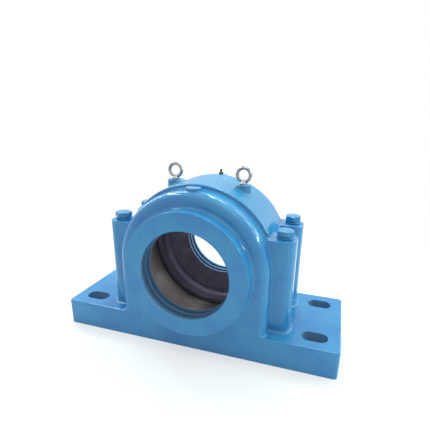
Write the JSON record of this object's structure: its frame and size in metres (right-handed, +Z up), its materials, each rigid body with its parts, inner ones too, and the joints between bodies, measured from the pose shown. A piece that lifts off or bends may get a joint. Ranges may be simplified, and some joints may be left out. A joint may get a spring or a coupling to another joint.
{
  "type": "split plummer block",
  "caption": "Split cast bearing housing with grooved labyrinth seal bores at both ends, a slotted foot, bolted cap columns and lifting eyes; empty, painted blue.",
  "frame": {"origin": "middle of the foot's underside", "axes": "+X along the foot, +Y along the shaft towards the grease nipple's end, +Z up"},
  "size_m": [0.885, 0.4, 0.549],
  "materials": {
    "blue_enamel": "satin-gloss enamel",
    "blue_bolt_enamel": "satin enamel",
    "zinc_plate": "bright zinc plate",
    "dark_steel": "dulled steel",
    "ground_steel": "ground"
  },
  "bodies": {
    "root": {"base_casting": "blue_enamel", "cap_casting": "blue_enamel", "cap_bolt_front_left": "blue_bolt_enamel", "cap_bolt_front_right": "blue_bolt_enamel", "cap_bolt_rear_left": "blue_bolt_enamel", "cap_bolt_rear_right": "blue_bolt_enamel", "spring_washer_front_left": "blue_bolt_enamel", "spring_washer_front_right": "blue_bolt_enamel", "spring_washer_rear_left": "blue_bolt_enamel", "spring_washer_rear_right": "blue_bolt_enamel", "eye_bolt_left": "zinc_plate", "eye_bolt_right": "zinc_plate", "grease_nipple": "dark_steel", "dowel_front": "ground_steel", "dowel_rear": "ground_steel"}
  },
  "joints": []
}
